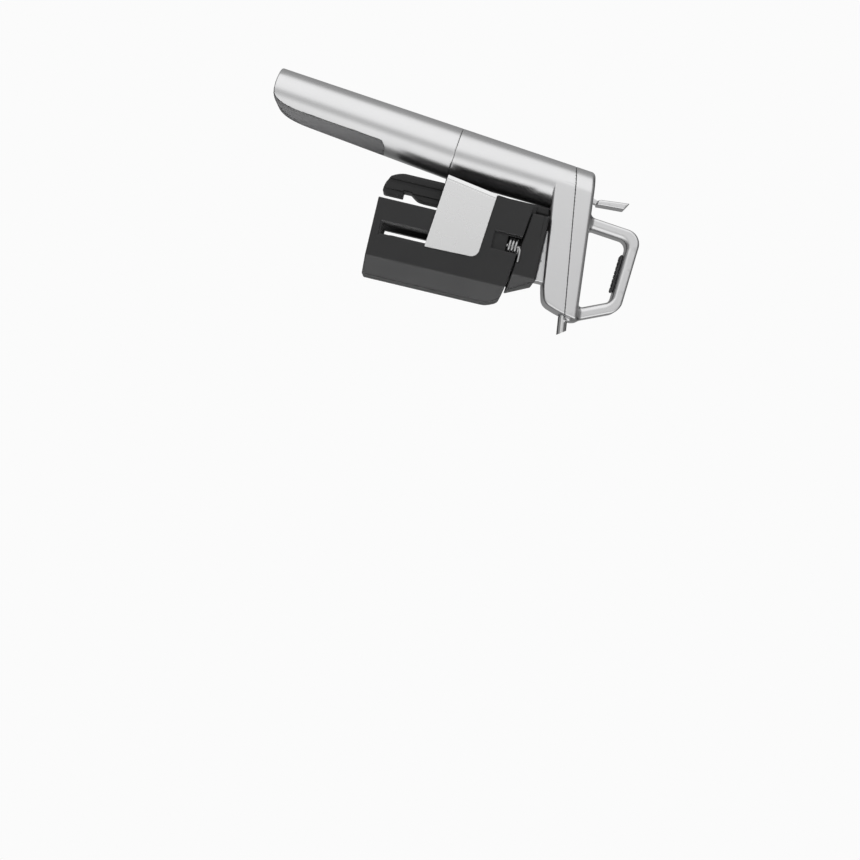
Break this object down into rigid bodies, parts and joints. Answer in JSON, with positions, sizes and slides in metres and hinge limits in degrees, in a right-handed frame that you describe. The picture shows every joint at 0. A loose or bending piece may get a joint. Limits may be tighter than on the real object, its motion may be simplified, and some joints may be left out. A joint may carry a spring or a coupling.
{
  "type": "wine pourer",
  "caption": "Hand-worked wine pourer: hollow needle, gas capsule in a screw-on handle, thumb trigger, pour spout, looped grip and a sprung clamp for a bottle neck.",
  "frame": {"origin": "centre of the bottle's rim plane on the needle's axis, where the rubber neck stop rests", "axes": "+Z along the needle away from the bottle, +X towards the pour spout, Y across the object"},
  "size_m": [0.1102, 0.0466, 0.2193],
  "materials": {
    "brushed_metal": "fine brushed satin",
    "plate_metal": "fine brushed, light",
    "polished_steel": "polished",
    "spring_steel": "drawn wire, bright",
    "capsule_steel": "zinc plated",
    "brass": "machined",
    "black_plastic": "fine moulded texture",
    "grey_plastic": "smooth moulded",
    "soft_grip": "soft-touch satin",
    "rubber": "matt"
  },
  "bodies": {
    "clamp": {"clamp_carriage": "black_plastic", "needle_guide": "grey_plastic", "neck_stop": "rubber", "rail_liner_left": "grey_plastic", "rail_liner_right": "grey_plastic", "hinge_pin_left": "spring_steel", "hinge_pin_right": "spring_steel", "jaw_spring_left": "spring_steel", "jaw_spring_right": "spring_steel"},
    "body": {"body_shell": "brushed_metal", "top_cover": "brushed_metal", "loop_grip_pad": "soft_grip", "guide_rail": "black_plastic", "rail_screw_left": "spring_steel", "rail_screw_right": "spring_steel", "wine_manifold": "black_plastic", "gas_transfer_tube": "brass", "needle": "polished_steel", "needle_nut": "brass", "needle_seal": "rubber", "regulator_body": "brass", "piercing_pin": "polished_steel", "capsule_seal": "rubber", "regulator_spring": "spring_steel", "regulator_cap": "brass", "gas_line": "brass", "valve_body": "black_plastic", "valve_plug": "brass", "valve_spring": "spring_steel", "trigger_pin": "spring_steel", "spout": "polished_steel", "spout_seal": "rubber"},
    "left_jaw": {"jaw_left": "black_plastic", "jaw_pad_left": "rubber", "side_plate_left": "plate_metal"},
    "right_jaw": {"jaw_right": "black_plastic", "jaw_pad_right": "rubber", "side_plate_right": "plate_metal"},
    "trigger_lever": {"trigger": "brushed_metal"},
    "spool": {"valve_spool": "polished_steel"},
    "piston": {"regulator_piston": "brass"},
    "capsule": {"gas_capsule": "capsule_steel"},
    "cup": {"gas_cup": "brushed_metal", "cup_grip_inlay": "soft_grip", "capsule_cushion": "rubber"}
  },
  "joints": [
    {"name": "needle_stroke", "type": "slide", "parent": "clamp", "child": "body", "axis": [0, 0, 1], "range_m": [0, 0.058]},
    {"name": "left_jaw_hinge", "type": "hinge", "parent": "clamp", "child": "left_jaw", "pos_m": [-0.0087, 0.0164, 0], "axis": [0, 0, 1], "range_deg": [0, 8], "stiffness_Nm_per_rad": 1.2, "springref_deg": -11.46},
    {"name": "right_jaw_hinge", "type": "hinge", "parent": "clamp", "child": "right_jaw", "pos_m": [-0.0087, -0.0164, 0], "axis": [0, 0, -1], "range_deg": [0, 8], "stiffness_Nm_per_rad": 1.2, "springref_deg": -11.46},
    {"name": "trigger_pull", "type": "hinge", "parent": "body", "child": "trigger_lever", "pos_m": [-0.04942, 0, 0.04775], "axis": [0, 1, 0], "range_deg": [0, 12], "stiffness_Nm_per_rad": 0.12, "springref_deg": -17.19},
    {"name": "valve_travel", "type": "slide", "parent": "body", "child": "spool", "axis": [-0.0906, 0, -0.9959], "range_m": [0, 0.00147], "deforming": ["valve_spring"]},
    {"name": "piston_travel", "type": "slide", "parent": "body", "child": "piston", "axis": [0.0906, 0, 0.9959], "range_m": [0, 0.0008], "stiffness_N_per_m": 2000, "springref_m": -0.001, "deforming": ["regulator_spring"]},
    {"name": "capsule_travel", "type": "slide", "parent": "body", "child": "capsule", "axis": [-0.0906, 0, -0.9959], "range_m": [0, 0.0045]},
    {"name": "cup_turn", "type": "hinge", "parent": "capsule", "child": "cup", "pos_m": [-0.05521, 0, -0.0269], "axis": [-0.0906, 0, -0.9959], "range_deg": [0, 1080]}
  ],
  "couplings": [
    {"joint": "valve_travel", "follows": "trigger_pull", "m_per_rad": 0.007},
    {"joint": "capsule_travel", "follows": "cup_turn", "m_per_rad": 0.000238}
  ]
}
